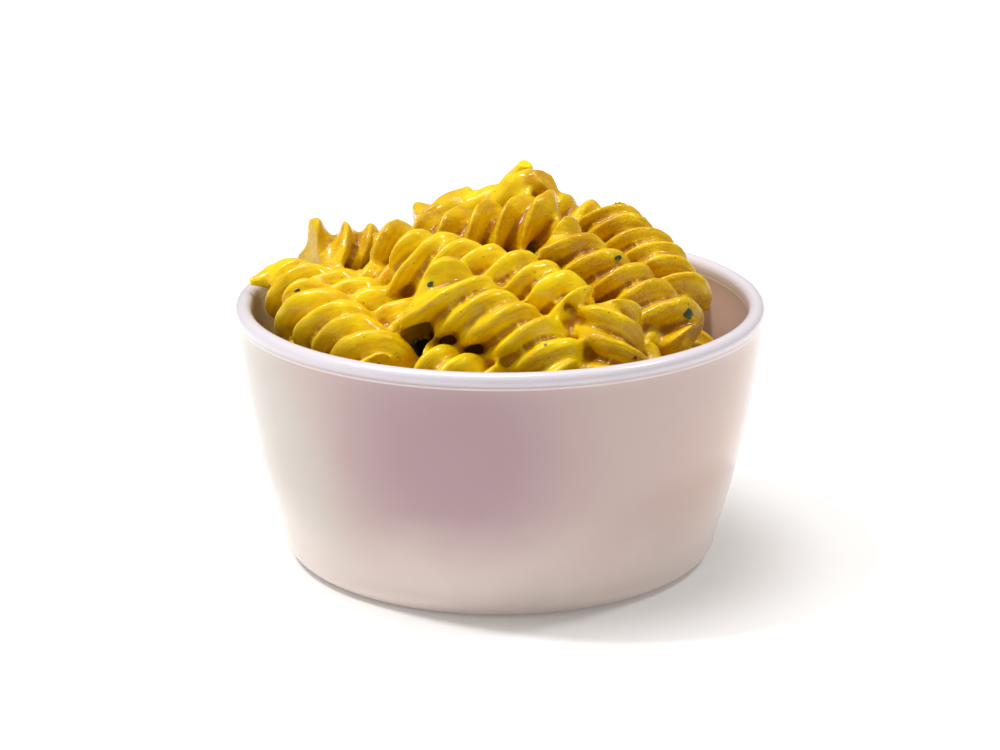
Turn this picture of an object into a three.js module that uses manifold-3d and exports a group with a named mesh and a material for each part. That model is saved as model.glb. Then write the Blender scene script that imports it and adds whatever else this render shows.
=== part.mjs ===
// A deep round bowl, filled and heaped with sauced fusilli. Millimetres, +Z up.
// The origin is the middle of the bowl's flat base, and -Y is the side that the heap is seen from.
// Two solids: the bowl, turned from one profile, and the heap, a smooth core with every fusillo
// that shows fused on to it.

import * as THREE from "three";
import { mergeVertices } from "three/addons/utils/BufferGeometryUtils.js";
import Module from "manifold-3d";

// ---------------------------------------------------------------- driving dimensions

// The bowl
const RIM_RADIUS = 50; // outermost, at the rounded lip
const BOWL_HEIGHT = 49.2;
const WALL = 3.8; // thickness of the side
const FLOOR = 4; // thickness of the base
const BASE_RADIUS = 40.2; // where the side would meet the table without its rounding
const BASE_ROUNDING = [4, 4.5]; // how far in, and how high, the bottom edge is rounded
const LIP_RADIUS = 2; // the lip is a round bead, twice this thick
const SIDE_TOP = [49.7, 45.8]; // radius and height where the side runs into the bead
const SIDE_BULGE = 1.25; // the side stands this far out of a straight cone at mid-height
const BOWL_SIDES = 50;

// A fusillo: three blades round one axis, twisted to the left
const BLADES = 3;
const GROOVE_RADIUS = 2.8; // from the axis to the bottom of the groove between two blades
const CREST_HALF_WIDTH = 24; // degrees of the section that a blade's blunt edge takes, each side
const END_REACH = 8; // length of a blade over which an end opens out or tapers away
const TWIST_STEP = 44; // degrees of twist from one section to the next
const END_ROUNDING = 0.82; // the first and last sections are smaller by this

// The heap
const CORE_GAP = 0.35; // between the heap and the bowl's inside
const CORE_SHOULDER = 30; // height at which the core leaves the wall
const CORE_TOP = 56;
const CORE_SLOPE = 1.3; // 1 would be a cone, 2 a rounded dome
const CORE_SIDES = 28;
const TOUCH_DISTANCE = 0.001; // points of the heap's shell nearer than this are in one place
const DRAWN_APART = 0.02;

// Fusilli that show from the front: [start, end] of the axis, then what sets each one apart.
// turn: degrees that its first section is turned; radius: of the blades; pitch: length of a whole
// turn; bow: how far its middle is bent up; open: how far the start and end open out (1 = fully)
// or taper to a point (below 0); edge: below 2.3 the blades are sharper; fine: with blunt edges.
const SHOWN = {
  left_front: {
    axis: [[-37.5, -8, 49.5], [-19.5, -34, 43.5]],
    turn: 30, pitch: 18.5, bow: 1, open: [0, 0.2], fine: true,
  },
  left: {
    axis: [[-41, 4, 49], [-15, -19.5, 46.5]],
    turn: 0, pitch: 18, bow: 1.2, open: [0.2, 0], fine: true,
  },
  left_tip: {
    axis: [[-37, 7, 51.5], [-48, 2.5, 51.8]],
    turn: 0, pitch: 30, radius: 3.4, open: [0, -0.9],
  },
  front: {
    axis: [[-14.5, -24, 57], [12.5, -37, 43.5]],
    turn: 90, pitch: 15, bow: 2.5, open: [1, 0.1], fine: true,
  },
  middle: {
    axis: [[-19, -9, 58.5], [16, -25.5, 52.5]],
    turn: 40, pitch: 15.5, bow: 1.6, open: [0, 0.4], fine: true,
  },
  top: {
    axis: [[-24, 6, 54], [12, 4, 62.5]],
    turn: 60, pitch: 17.5, radius: 6.9, open: [0.5, 0.4], edge: 1.7, fine: true,
  },
  crown: {
    axis: [[-4.5, 22, 57.5], [8.5, 15, 65]],
    turn: 20, pitch: 30, radius: 5.8, open: [0, 0.5], edge: 1.8,
  },
  crown_tip: {
    axis: [[1.5, 27, 55], [4.4, 22, 70]],
    turn: 90, pitch: 22, radius: 4.2, open: [0, -0.9],
  },
  right_back: {
    axis: [[8, 15, 60], [28, 14, 54]],
    turn: 50, pitch: 15.5, fine: true,
  },
  left_blade: {
    axis: [[-16.5, 22, 55.5], [-3.5, 24, 58.5]],
    turn: 30, pitch: 45, open: [1, 0.8], edge: 1.8,
  },
  left_back: {
    axis: [[-37, 15, 52.5], [-16, 27, 50]],
    turn: 90, pitch: 16.5, open: [1, 0], fine: true,
  },
  right_front: {
    axis: [[8, -6, 60], [35, -18, 45.5]],
    turn: 60, pitch: 16.5, bow: 1.2, open: [1, 0.3], fine: true,
  },
  front_stub: {
    axis: [[18.5, -26.5, 55], [21, -34.5, 42.5]],
    turn: 60, radius: 6.2, open: [0.3, 0],
  },
  right: {
    axis: [[18.5, 13, 59.5], [35, -8, 47.5]],
    turn: 60, pitch: 13.5, radius: 7, bow: 1.6, open: [0.3, 0], fine: true,
  },
  under_front: { axis: [[-15, -33, 44.5], [0, -37.5, 41]], turn: 60, radius: 6.2, open: [0.3, 0] },
  under_right: { axis: [[29, -25.5, 42], [10, -36.5, 41]], turn: 20, radius: 6.3 },
  under_middle: { axis: [[-26, -1.5, 49.5], [9, -6.5, 53]], turn: 40, radius: 6.4 },
  under_left: { axis: [[-39, 10, 44], [-24, 4, 48]], turn: 110, radius: 5.8 },
  under_top: { axis: [[-22, 13.5, 51.5], [-1, 15.5, 54.5]], turn: 50, radius: 6.3 },
  between_right: { axis: [[11, 0.5, 52.5], [29, -4.5, 47.5]], turn: 10, radius: 6 },
  between_front: { axis: [[15, -21, 48], [31, -16, 43]], turn: 80, radius: 6 },
  back_left: { axis: [[-34, 20.5, 44], [-11, 35.5, 44]], turn: 15 },
  back: { axis: [[-11, 37, 46], [14, 35, 50.5]], turn: 70, bow: 1 },
  back_right: { axis: [[16, 33, 49.5], [34, 18, 44]], turn: 100, open: [0, 0.3] },
  behind_right: { axis: [[8, 25, 55], [27, 24, 50]], turn: 25 },
};
const USUAL = { radius: 6.6, pitch: 16, turn: 0, bow: 0.5, open: [0, 0], edge: 2.3, fine: false };

// Fusilli that lie along the wall under all the others, at one distance from the bowl's axis
const WALL_ROW = {
  count: 8,
  distance: 35.6,
  length: 22,
  radius: 6.2,
  from: 20, // degrees round from +X to the middle of the first
  turnStep: 53, // degrees by which each one is turned more than the last
  heights: [35, 36.2, 37.4],
  headings: [4, -5, 3], // degrees off the wall's own direction
  tilts: [5, -6, 2],
};

// Flakes of herb: the fusillo each lies on, where along it (0 to 1), and on which side (degrees
// round its axis, 0 sideways and 90 upwards)
const FLAKES = [
  { on: "left", along: 0.93, side: 150, size: 2.1 },
  { on: "right", along: 0.9, side: 120, size: 1.7 },
  { on: "left", along: 0.12, side: 100, size: 1 },
  { on: "middle", along: 0.5, side: 110, size: 0.9 },
  { on: "right_front", along: 0.55, side: 95, size: 0.9 },
];
const FLAKE_THICKNESS = 0.8;
const FLAKE_SUNK = 0.8; // its underside lies this far inside the blades' edge
const FLAKE_SIDES = 5;

// ---------------------------------------------------------------- small helpers

const rad = THREE.MathUtils.degToRad;
const smooth = (x) => THREE.MathUtils.smoothstep(x, 0, 1);

// Points of an arc of an ellipse in the profile's plane, from one angle to another in degrees
function arc(cx, cy, rx, ry, from, to, steps) {
  const points = [];
  for (let i = 0; i <= steps; i += 1) {
    const a = rad(THREE.MathUtils.lerp(from, to, i / steps));
    points.push(new THREE.Vector2(cx + rx * Math.cos(a), cy + ry * Math.sin(a)));
  }
  return points;
}

// Turned about +Z. A LatheGeometry turns about +Y, so it is stood up.
function turned(profile, sides) {
  return new THREE.LatheGeometry(profile, sides).rotateX(Math.PI / 2);
}

function bareGeometry(geometry) {
  geometry.deleteAttribute("normal");
  geometry.deleteAttribute("uv");
  return mergeVertices(geometry, 1e-4);
}

// ---------------------------------------------------------------- the bowl

// Outer radius of the bowl's side at a height
function sideRadius(z) {
  const t = z / SIDE_TOP[1];
  return BASE_RADIUS + (SIDE_TOP[0] - BASE_RADIUS) * t + SIDE_BULGE * Math.sin(Math.PI * t);
}

function bowlProfile() {
  const [inset, rise] = BASE_ROUNDING;
  const sideSteps = 4;
  const outside = [];
  const inside = [];
  for (let i = 1; i <= sideSteps; i += 1) {
    const z = THREE.MathUtils.lerp(rise, SIDE_TOP[1], i / sideSteps);
    outside.push(new THREE.Vector2(sideRadius(z), z));
    inside.unshift(new THREE.Vector2(sideRadius(z) - WALL, z));
  }
  const foot = sideRadius(rise);
  const innerFoot = sideRadius(FLOOR + rise) - WALL;
  return [
    new THREE.Vector2(0, 0),
    ...arc(foot - inset, rise, inset, rise, -90, 0, 3),
    ...outside,
    ...arc(RIM_RADIUS - LIP_RADIUS, BOWL_HEIGHT - LIP_RADIUS, LIP_RADIUS, LIP_RADIUS, -30, 180, 7),
    ...inside,
    ...arc(innerFoot - inset, FLOOR + rise, inset, rise, 0, -90, 3),
    new THREE.Vector2(0, FLOOR),
  ];
}

// ---------------------------------------------------------------- one fusillo

// How far an end is opened out (above 0) or tapered away (below 0) at a place on the axis
function openness(fromStart, length, open) {
  const atStart = open[0] * smooth(1 - fromStart / END_REACH);
  const atEnd = open[1] * smooth(1 - (length - fromStart) / END_REACH);
  return atStart + atEnd;
}

// Height of the section over the groove, from 0 in the groove to 1 on the blade's edge.
// v is 0 at the middle of a blade and 1 at the middle of a groove. An opened end has blades
// like the points of a star, and the rest has blunt ones.
function bladeHeight(v, opened, edge) {
  const blunt = Math.pow(1 - Math.pow(v, edge), 1 / 1.9);
  const pointed = Math.pow(1 - v, 1.25);
  return THREE.MathUtils.lerp(blunt, pointed, opened);
}

// Axis of a piece and two directions square to it, one level and one upwards
function frameOf(axis) {
  const start = new THREE.Vector3(...axis[0]);
  const end = new THREE.Vector3(...axis[1]);
  const length = start.distanceTo(end);
  const along = end.clone().sub(start).normalize();
  const level = new THREE.Vector3(0, 0, 1).cross(along).normalize();
  const up = along.clone().cross(level);
  return { start, length, along, level, up };
}

function pointInFrame(frame, distance, lift, radius, angle) {
  const point = frame.start.clone().addScaledVector(frame.along, distance);
  point.addScaledVector(frame.up, lift + radius * Math.sin(angle));
  return point.addScaledVector(frame.level, radius * Math.cos(angle));
}

// Angles of the section's corners in degrees, and how far each is from the middle of its blade (0)
// towards the middle of a groove (1)
function sectionCorners(fine) {
  const halfBlade = 180 / BLADES;
  const corners = [];
  for (let blade = 0; blade < BLADES; blade += 1) {
    const middle = 2 * halfBlade * blade;
    const crest = fine ? [-CREST_HALF_WIDTH, CREST_HALF_WIDTH] : [0];
    corners.push(...crest.map((off) => ({ angle: middle + off, fromBlade: Math.abs(off) / halfBlade })));
    corners.push({ angle: middle + halfBlade, fromBlade: 1 });
  }
  return corners;
}

// Sections are set along the axis, each twisted further than the last, and joined by a skin whose
// diagonals follow the blades. A fan from the axis closes each end.
function fusillo(piece) {
  const { radius, pitch, bow, open, edge, turn, fine } = piece;
  const frame = frameOf(piece.axis);
  const steps = Math.max(3, Math.round((360 * frame.length) / pitch / TWIST_STEP));
  const corners = sectionCorners(fine);
  const points = [];
  let twist = turn;
  for (let i = 0; i <= steps; i += 1) {
    const distance = (frame.length * i) / steps;
    const change = openness(distance, frame.length, open);
    const opened = Math.max(0, change);
    const taper = 1 + 0.95 * Math.min(0, change);
    const tip = radius * (1 + 0.3 * opened) * taper;
    const groove = (GROOVE_RADIUS + 1.5 * opened) * taper;
    const rounding = i === 0 || i === steps ? END_ROUNDING : 1;
    const lift = bow * (1 - (2 * distance / frame.length - 1) ** 2);
    for (const { angle, fromBlade } of corners) {
      const reach = groove + (tip - groove) * bladeHeight(fromBlade, opened, edge);
      points.push(pointInFrame(frame, distance, lift, reach * rounding, rad(angle + twist)));
    }
    twist -= (360 / pitch) * (frame.length / steps) * (1 - 0.55 * opened);
  }

  const count = corners.length;
  const index = [];
  for (let i = 0; i < steps; i += 1) {
    for (let j = 0; j < count; j += 1) {
      const next = (j + 1) % count;
      const [a, b] = [i * count + j, i * count + next];
      const [c, d] = [b + count, a + count];
      const alongAC = points[a].distanceTo(points[c]) < points[b].distanceTo(points[d]);
      index.push(...(alongAC ? [a, b, c, a, c, d] : [a, b, d, b, c, d]));
    }
  }
  const startMiddle = points.push(frame.start.clone()) - 1;
  const endMiddle = points.push(frame.start.clone().addScaledVector(frame.along, frame.length)) - 1;
  for (let j = 0; j < count; j += 1) {
    const next = (j + 1) % count;
    index.push(startMiddle, next, j, endMiddle, steps * count + j, steps * count + next);
  }
  return new THREE.BufferGeometry().setFromPoints(points).setIndex(index);
}

// ---------------------------------------------------------------- the heap

// A piece of the row along the wall: its middle lies on a circle round the bowl's axis
function wallPiece(i) {
  const pick = (list) => list[i % list.length];
  const place = rad(WALL_ROW.from + (360 / WALL_ROW.count) * i);
  const heading = place + rad(90 + pick(WALL_ROW.headings));
  const tilt = rad(pick(WALL_ROW.tilts));
  const middle = new THREE.Vector3(Math.cos(place), Math.sin(place), 0).multiplyScalar(WALL_ROW.distance);
  middle.z = pick(WALL_ROW.heights);
  const direction = new THREE.Vector3(Math.cos(heading), Math.sin(heading), 0).multiplyScalar(Math.cos(tilt));
  direction.z = Math.sin(tilt);
  const ends = [-0.5, 0.5].map((side) => middle.clone().addScaledVector(direction, side * WALL_ROW.length));
  return { axis: ends.map((end) => end.toArray()), turn: WALL_ROW.turnStep * i, radius: WALL_ROW.radius };
}

function allPieces() {
  const pieces = Object.values(SHOWN);
  for (let i = 0; i < WALL_ROW.count; i += 1) {
    pieces.push(wallPiece(i));
  }
  return pieces.map((piece) => ({ ...USUAL, ...piece }));
}

// Fills the bowl to its shoulder and then rises in a low dome under the fusilli
function coreGeometry() {
  const [inset, rise] = BASE_ROUNDING;
  const points = [new THREE.Vector2(0, FLOOR + CORE_GAP)];
  const wallSteps = 3;
  const moundSteps = 5;
  const foot = FLOOR + rise;
  points.push(new THREE.Vector2(sideRadius(foot) - WALL - inset, FLOOR + CORE_GAP));
  for (let i = 0; i <= wallSteps; i += 1) {
    const z = THREE.MathUtils.lerp(foot, CORE_SHOULDER, i / wallSteps);
    points.push(new THREE.Vector2(sideRadius(z) - WALL - CORE_GAP, z));
  }
  const shoulder = points[points.length - 1].x;
  for (let i = 1; i <= moundSteps; i += 1) {
    const share = 1 - i / moundSteps;
    const drop = (CORE_TOP - CORE_SHOULDER) * share ** CORE_SLOPE;
    points.push(new THREE.Vector2(shoulder * share, CORE_TOP - drop));
  }
  return bareGeometry(turned(points, CORE_SIDES));
}

// A thin uneven plate, half sunk in the surface of a fusillo
function flakeGeometry(flake) {
  const outline = [];
  for (let i = 0; i < FLAKE_SIDES; i += 1) {
    const a = (2 * Math.PI * i) / FLAKE_SIDES;
    const reach = flake.size * (1 + 0.25 * Math.sin(3 * i));
    outline.push(new THREE.Vector2(reach * Math.cos(a), 0.7 * reach * Math.sin(a)));
  }
  const settings = { depth: FLAKE_THICKNESS, bevelEnabled: false };
  const plate = new THREE.ExtrudeGeometry(new THREE.Shape(outline), settings);
  const carrier = { ...USUAL, ...SHOWN[flake.on] };
  const frame = frameOf(carrier.axis);
  const side = rad(flake.side);
  const outwards = frame.up.clone().multiplyScalar(Math.sin(side));
  outwards.addScaledVector(frame.level, Math.cos(side));
  const across = outwards.clone().cross(frame.along);
  const place = new THREE.Matrix4().makeBasis(frame.along, across, outwards);
  const distance = frame.length * flake.along;
  place.setPosition(pointInFrame(frame, distance, carrier.bow, carrier.radius - FLAKE_SUNK, side));
  return bareGeometry(plate.applyMatrix4(place));
}

// ---------------------------------------------------------------- joining

const wasm = await Module();
wasm.setup();

function toSolid(geometry) {
  const vertProperties = new Float32Array(geometry.getAttribute("position").array);
  const triVerts = new Uint32Array(geometry.getIndex().array);
  return new wasm.Manifold(new wasm.Mesh({ numProp: 3, vertProperties, triVerts }));
}

function toGeometry(solid) {
  const mesh = solid.getMesh();
  const geometry = new THREE.BufferGeometry();
  geometry.setAttribute("position", new THREE.BufferAttribute(mesh.vertProperties, 3));
  geometry.setIndex(new THREE.BufferAttribute(mesh.triVerts, 1));
  geometry.computeVertexNormals();
  return geometry;
}

// Where two sides of the shell touch, they have points in one place. Each of these is drawn a
// little way into its own side, so that no edge belongs to more than two faces.
function drawApart(geometry) {
  const position = geometry.getAttribute("position");
  const normal = geometry.getAttribute("normal");
  const places = new Map();
  for (let i = 0; i < position.count; i += 1) {
    const point = new THREE.Vector3().fromBufferAttribute(position, i);
    const place = point.multiplyScalar(1 / TOUCH_DISTANCE).round().toArray().join();
    places.set(place, [...(places.get(place) ?? []), i]);
  }
  for (const together of places.values()) {
    if (together.length > 1) {
      for (const i of together) {
        const point = new THREE.Vector3().fromBufferAttribute(position, i);
        point.addScaledVector(new THREE.Vector3().fromBufferAttribute(normal, i), -DRAWN_APART);
        position.setXYZ(i, ...point);
      }
    }
  }
  return geometry;
}

// The core and all that lies on it become one solid. Only its outer shell is kept: a loose scrap
// is dropped, and so is the wall of a hollow that the pieces close off, which fills it.
function heapGeometry() {
  let heap = toSolid(coreGeometry());
  for (const piece of allPieces()) {
    heap = heap.add(toSolid(fusillo(piece)));
  }
  for (const flake of FLAKES) {
    heap = heap.add(toSolid(flakeGeometry(flake)));
  }
  const shells = heap.decompose();
  shells.sort((a, b) => b.volume() - a.volume());
  return drawApart(toGeometry(shells[0]));
}

// ---------------------------------------------------------------- the part

const glazedCream = new THREE.MeshStandardMaterial({ color: "#e3d5cc", roughness: 0.22, metalness: 0 });
const saucedPasta = new THREE.MeshStandardMaterial({ color: "#dcb021", roughness: 0.35, metalness: 0 });

const bowl = new THREE.Mesh(turned(bowlProfile(), BOWL_SIDES), glazedCream);
bowl.name = "bowl";
const heap = new THREE.Mesh(heapGeometry(), saucedPasta);
heap.name = "fusilli_heap";

const part = new THREE.Group();
part.add(bowl, heap);

export default part;
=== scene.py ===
# %% [markdown]
# # A bowl of sauced fusilli
#
# A small glazed bowl, heaped with short twisted pasta in a creamy golden sauce. The solid model
# of the bowl and the heap is already made, at real size, with the middle of the bowl's base at
# the origin and +Z up. This notebook dresses it: the same bowl and the same pieces of pasta, in
# nearly the same places, with the fine shapes and the finishes that the solids leave out.
#
# Sizes are named in millimetres, because that is how a cook or a potter would measure them, and
# turned to Blender's metres where a mesh is made.

# %% Load the solid model
import math
import random

import bpy
import numpy as np
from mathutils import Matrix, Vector, kdtree, noise


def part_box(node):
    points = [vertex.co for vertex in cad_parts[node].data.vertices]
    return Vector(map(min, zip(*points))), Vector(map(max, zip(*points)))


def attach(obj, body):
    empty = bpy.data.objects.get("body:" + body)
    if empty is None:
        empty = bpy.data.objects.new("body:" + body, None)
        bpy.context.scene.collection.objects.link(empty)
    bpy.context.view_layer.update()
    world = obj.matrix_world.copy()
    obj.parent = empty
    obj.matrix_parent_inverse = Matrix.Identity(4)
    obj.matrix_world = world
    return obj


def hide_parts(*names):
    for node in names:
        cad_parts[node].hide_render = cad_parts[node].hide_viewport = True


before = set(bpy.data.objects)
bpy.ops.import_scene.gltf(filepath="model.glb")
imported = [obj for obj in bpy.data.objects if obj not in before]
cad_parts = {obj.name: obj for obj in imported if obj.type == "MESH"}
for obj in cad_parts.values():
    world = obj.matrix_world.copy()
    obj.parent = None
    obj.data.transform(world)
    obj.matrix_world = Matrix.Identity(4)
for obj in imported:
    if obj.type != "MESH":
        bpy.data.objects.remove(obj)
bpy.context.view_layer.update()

MM = 0.001

# %% [markdown]
# ## The camera
#
# The bowl is seen from a little above its rim, from half a metre away, with a short telephoto
# lens, so that its sides hardly converge. The camera is made first, because every later choice
# is judged through it.

# %% Place the camera
CAMERA_DISTANCE = 560 * MM
CAMERA_ELEVATION = math.radians(17.5)
LOOK_AT = Vector((0, 0, 33.55 * MM))
LENS_MM = 105.9  # on a 36 mm sensor

camera_data = bpy.data.cameras.new("camera")
camera_data.lens = LENS_MM
camera = bpy.data.objects.new("camera", camera_data)
towards_camera = Vector((0, -math.cos(CAMERA_ELEVATION), math.sin(CAMERA_ELEVATION)))
camera.location = LOOK_AT + towards_camera * CAMERA_DISTANCE
camera.rotation_euler = (-towards_camera).to_track_quat("-Z", "Y").to_euler()
bpy.context.scene.collection.objects.link(camera)
bpy.context.scene.camera = camera
print("camera", [round(v, 4) for v in camera.location])

# %% [markdown]
# ## Helpers for meshes
#
# Everything here is a grid of points wrapped round something: round the bowl's axis, or round the
# axis of a fusillo. So one function turns points and faces into a smooth shaded object, and keeps
# whatever is to be known of each point later, such as how deep in a groove it lies. Such a value
# is an attribute of the mesh, which a material can read.

# %% Make an object from points, faces and values per point
def add_mesh(name, points_mm, faces, values=None):
    mesh = bpy.data.meshes.new(name)
    mesh.from_pydata((np.asarray(points_mm) * MM).tolist(), [], faces)
    for value_name, numbers in (values or {}).items():
        numbers = np.asarray(numbers, dtype=np.float32)
        kind = "FLOAT" if numbers.ndim == 1 else "FLOAT_VECTOR"
        attribute = mesh.attributes.new(value_name, kind, "POINT")
        attribute.data.foreach_set("value" if numbers.ndim == 1 else "vector", numbers.ravel())
    mesh.shade_smooth()
    piece = bpy.data.objects.new(name, mesh)
    bpy.context.scene.collection.objects.link(piece)
    return piece


def dress(piece, node_name, material):
    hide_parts(node_name)
    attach(piece, "root")
    piece.data.materials.append(material)
    print(piece.name, "has", len(piece.data.polygons), "faces")


# %% Faces between the rings of a grid
def ring_faces(rings, around):
    """Quads that join each ring of points to the next one, all the way round."""
    faces = []
    for i in range(rings - 1):
        for j in range(around):
            k = (j + 1) % around
            faces.append((i * around + j, i * around + k, (i + 1) * around + k, (i + 1) * around + j))
    return faces


def arc(centre, radii, start, end, steps):
    """Points of an arc of an ellipse, from one angle to another in degrees."""
    angles = np.radians(np.linspace(start, end, steps + 1))
    return [(centre[0] + radii[0] * math.cos(a), centre[1] + radii[1] * math.sin(a)) for a in angles]


def smooth(x):
    """0 below 0, 1 above 1 and an even S between them."""
    x = np.clip(x, 0, 1)
    return x * x * (3 - 2 * x)


# %% [markdown]
# ## Helpers for materials
#
# Colours are written as sRGB hex, as a colour picker shows them, and one function turns them to
# the linear values that the renderer adds up. One more function adds a node, sets its values and
# links what it is given. Everything that a material does is then a list of such calls.

# %% Colours and nodes
def linear(hex_colour):
    """The linear RGBA of an sRGB hex colour."""
    channels = [int(hex_colour[i : i + 2], 16) / 255 for i in (1, 3, 5)]
    return [c / 12.92 if c <= 0.04045 else ((c + 0.055) / 1.055) ** 2.4 for c in channels] + [1]


def add_node(tree, kind, settings=None, **inputs):
    """A node of that kind. A setting is one of its own properties. An input is a number, a colour
    or the socket to link from; its name's underscores stand for spaces, and a name such as _1
    means the socket at that place."""
    node = tree.nodes.new("ShaderNode" + kind)
    for key, value in (settings or {}).items():
        setattr(node, key, value)
    for key, value in inputs.items():
        target = node.inputs[int(key[1:]) if key[0] == "_" else key.replace("_", " ")]
        if isinstance(value, bpy.types.NodeSocket):
            tree.links.new(value, target)
        else:
            target.default_value = value
    return node


def new_material(name):
    """An empty material with a Principled shader linked to its output."""
    material = bpy.data.materials.new(name)
    material.use_nodes = True
    tree = material.node_tree
    shader = tree.nodes["Principled BSDF"]
    return material, tree, shader


def mixed(tree, share, first, second):
    """The colour that is the first where share is 0 and the second where it is 1."""
    return add_node(tree, "Mix", {"data_type": "RGBA"}, _0=share, _6=first, _7=second).outputs[2]


def ramped(tree, value, low, high, to_low=0.0, to_high=1.0):
    """value taken from low..high to to_low..to_high in an even S, and held there outside it."""
    settings = {"interpolation_type": "SMOOTHSTEP"}
    return add_node(tree, "MapRange", settings, _0=value, _1=low, _2=high, _3=to_low, _4=to_high).outputs[0]


# %% [markdown]
# ## The bowl
#
# A thrown or cast bowl is a solid of revolution, so it is one outline turned about the axis. Its
# side is a cone that swells a little, its foot is rounded, and its lip is round, with a fine ridge
# under it where the side begins. The solid model has this outline in few steps, with a slightly
# thicker lip; this one has many steps, so its highlights run smoothly.

# %% Sizes of the bowl
bowl_low, bowl_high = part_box("bowl")
RIM_RADIUS = (bowl_high.y - bowl_low.y) / 2 / MM
BOWL_HEIGHT = bowl_high.z / MM
WALL = 3.8
FLOOR_THICKNESS = 4.0
BASE_RADIUS = 40.4  # where the side would meet the table without its rounding
BASE_ROUNDING = (4.0, 4.5)  # how far in, and how high, the bottom edge is rounded
LIP_RADIUS = 1.6
LIP_ARC = (-26, 178)  # degrees, from the ridge over the top to the inside
SIDE_TOP = (RIM_RADIUS - 0.2, BOWL_HEIGHT - 2.7)  # where the side runs into the lip
SIDE_BULGE = 1.35
LIP_RIDGE = 0.1  # how far the fine line under the lip stands out
RIDGE_GAP = 0.3  # the side's last ring lies this far below the ridge
INNER_FLARE = 0.8  # the wall is this much thinner at the lip
FLARE_MM = (38, 46)  # heights where it starts to thin, and where it has
BOWL_SIDES = 256


def side_radius(z):
    """Outer radius of the bowl's side at a height."""
    t = z / SIDE_TOP[1]
    return BASE_RADIUS + (SIDE_TOP[0] - BASE_RADIUS) * t + SIDE_BULGE * math.sin(math.pi * t)


def inner_radius(z):
    """Radius of the inside: the wall is even, and thins a little towards the lip."""
    low, high = FLARE_MM
    return side_radius(z) - WALL + INNER_FLARE * smooth((z - low) / (high - low))


# %% Turn the bowl
def bowl_outline():
    inset, rise = BASE_ROUNDING
    foot = side_radius(rise)
    inner_foot = side_radius(FLOOR_THICKNESS + rise) - WALL
    heights = np.linspace(rise, SIDE_TOP[1] - RIDGE_GAP, 24)[1:]
    ridge = [(side_radius(SIDE_TOP[1]) + LIP_RIDGE, SIDE_TOP[1])]
    lip = (RIM_RADIUS - LIP_RADIUS, BOWL_HEIGHT - LIP_RADIUS)
    inner_heights = np.linspace(FLOOR_THICKNESS + rise, SIDE_TOP[1] - RIDGE_GAP, 24)[::-1]
    return (
        [(0.01, 0), (foot - inset - 2, 0)]
        + arc((foot - inset, rise), (inset, rise), -90, 0, 10)
        + [(side_radius(z), z) for z in heights]
        + ridge
        + arc(lip, (LIP_RADIUS, LIP_RADIUS), *LIP_ARC, 22)
        + [(inner_radius(z), z) for z in inner_heights]
        + arc((inner_foot - inset, FLOOR_THICKNESS + rise), (inset, rise), 0, -90, 8)[1:]
        + [(0.01, FLOOR_THICKNESS)]
    )


outline = bowl_outline()
turns = 2 * math.pi * np.arange(BOWL_SIDES) / BOWL_SIDES
bowl_points = [(r * math.cos(a), r * math.sin(a), z) for r, z in outline for a in turns]
bowl = add_mesh("glazed_bowl", bowl_points, ring_faces(len(outline), BOWL_SIDES))
print("bowl", round(2 * RIM_RADIUS, 1), "mm across,", round(BOWL_HEIGHT, 1), "mm high")

# %% [markdown]
# ## The glaze
#
# The bowl is stoneware under a glossy reactive glaze: a thin layer of coloured glass. The glass
# gives sharp, clear reflections over a body that scatters light softly, which is a dielectric with
# an IOR of about 1.5, a low roughness and a clear coat. Reactive glazes drift in colour where
# they lie thicker: cream here, mauve on one side and tan on another, in soft clouds a few
# centimetres wide. The mauve cloud on the front is also a painted pink reflection. Each cloud is a
# distance from a point on the bowl, broken up by a slow noise. Over the lip the glaze is paler and
# cooler, and along the fine ridge it is nearly white.

# %% Glaze of the bowl
GLAZE_BLUSH = "#c6ada8"
GLAZE_LIP = "#e2dde6"
GLAZE_LINE = "#f4eeee"  # where it runs thin over the fine line under the lip
GLAZE_FOOT_BOUNCE = "#e8dad2"  # painted bounce light: paler near the foot, where the white card lights the side
# centre of each cloud in mm, the distances over which it fades out, colour and strength
GLAZE_CLOUDS = [
    # the mauve cloud on the front, partly a painted pink reflection
    ((-8, -48, 33), (8, 33), "#ad8d94", 1.0),
    ((46, -14, 26), (8, 36), "#c8aa9c", 1.0),
    ((-47, -6, 24), (27, 42), "#c5bbb2", 1.0),
    ((20, -38, 6), (3, 11), "#c9a19c", 0.6),
    ((-8, 46, 30), (10, 34), "#b3979a", 0.8),
    ((38, 26, 14), (8, 30), "#d8c6bc", 0.8),
]
FOOT_BOUNCE_MM = (1, 22)
FOOT_BOUNCE_SHARE = 0.9  # how strongly that shows
LIP_GLAZE_MM = (2.8, 1.6)  # below the top: where the paler glaze of the lip starts and is full
LIP_SHARE = 0.9
LINE_MM = (0.08, 0.3)  # half the width of the pale line, and where it has faded out
LINE_SHARE = 0.6
CLOUD_DRIFT_MM = 7  # how far the clouds' edges wander
CLOUD_GRAIN_MM = 40
GLAZE_RIPPLE_MM = 9
GLAZE_RIPPLE_HEIGHT_MM = 0.4


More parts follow.
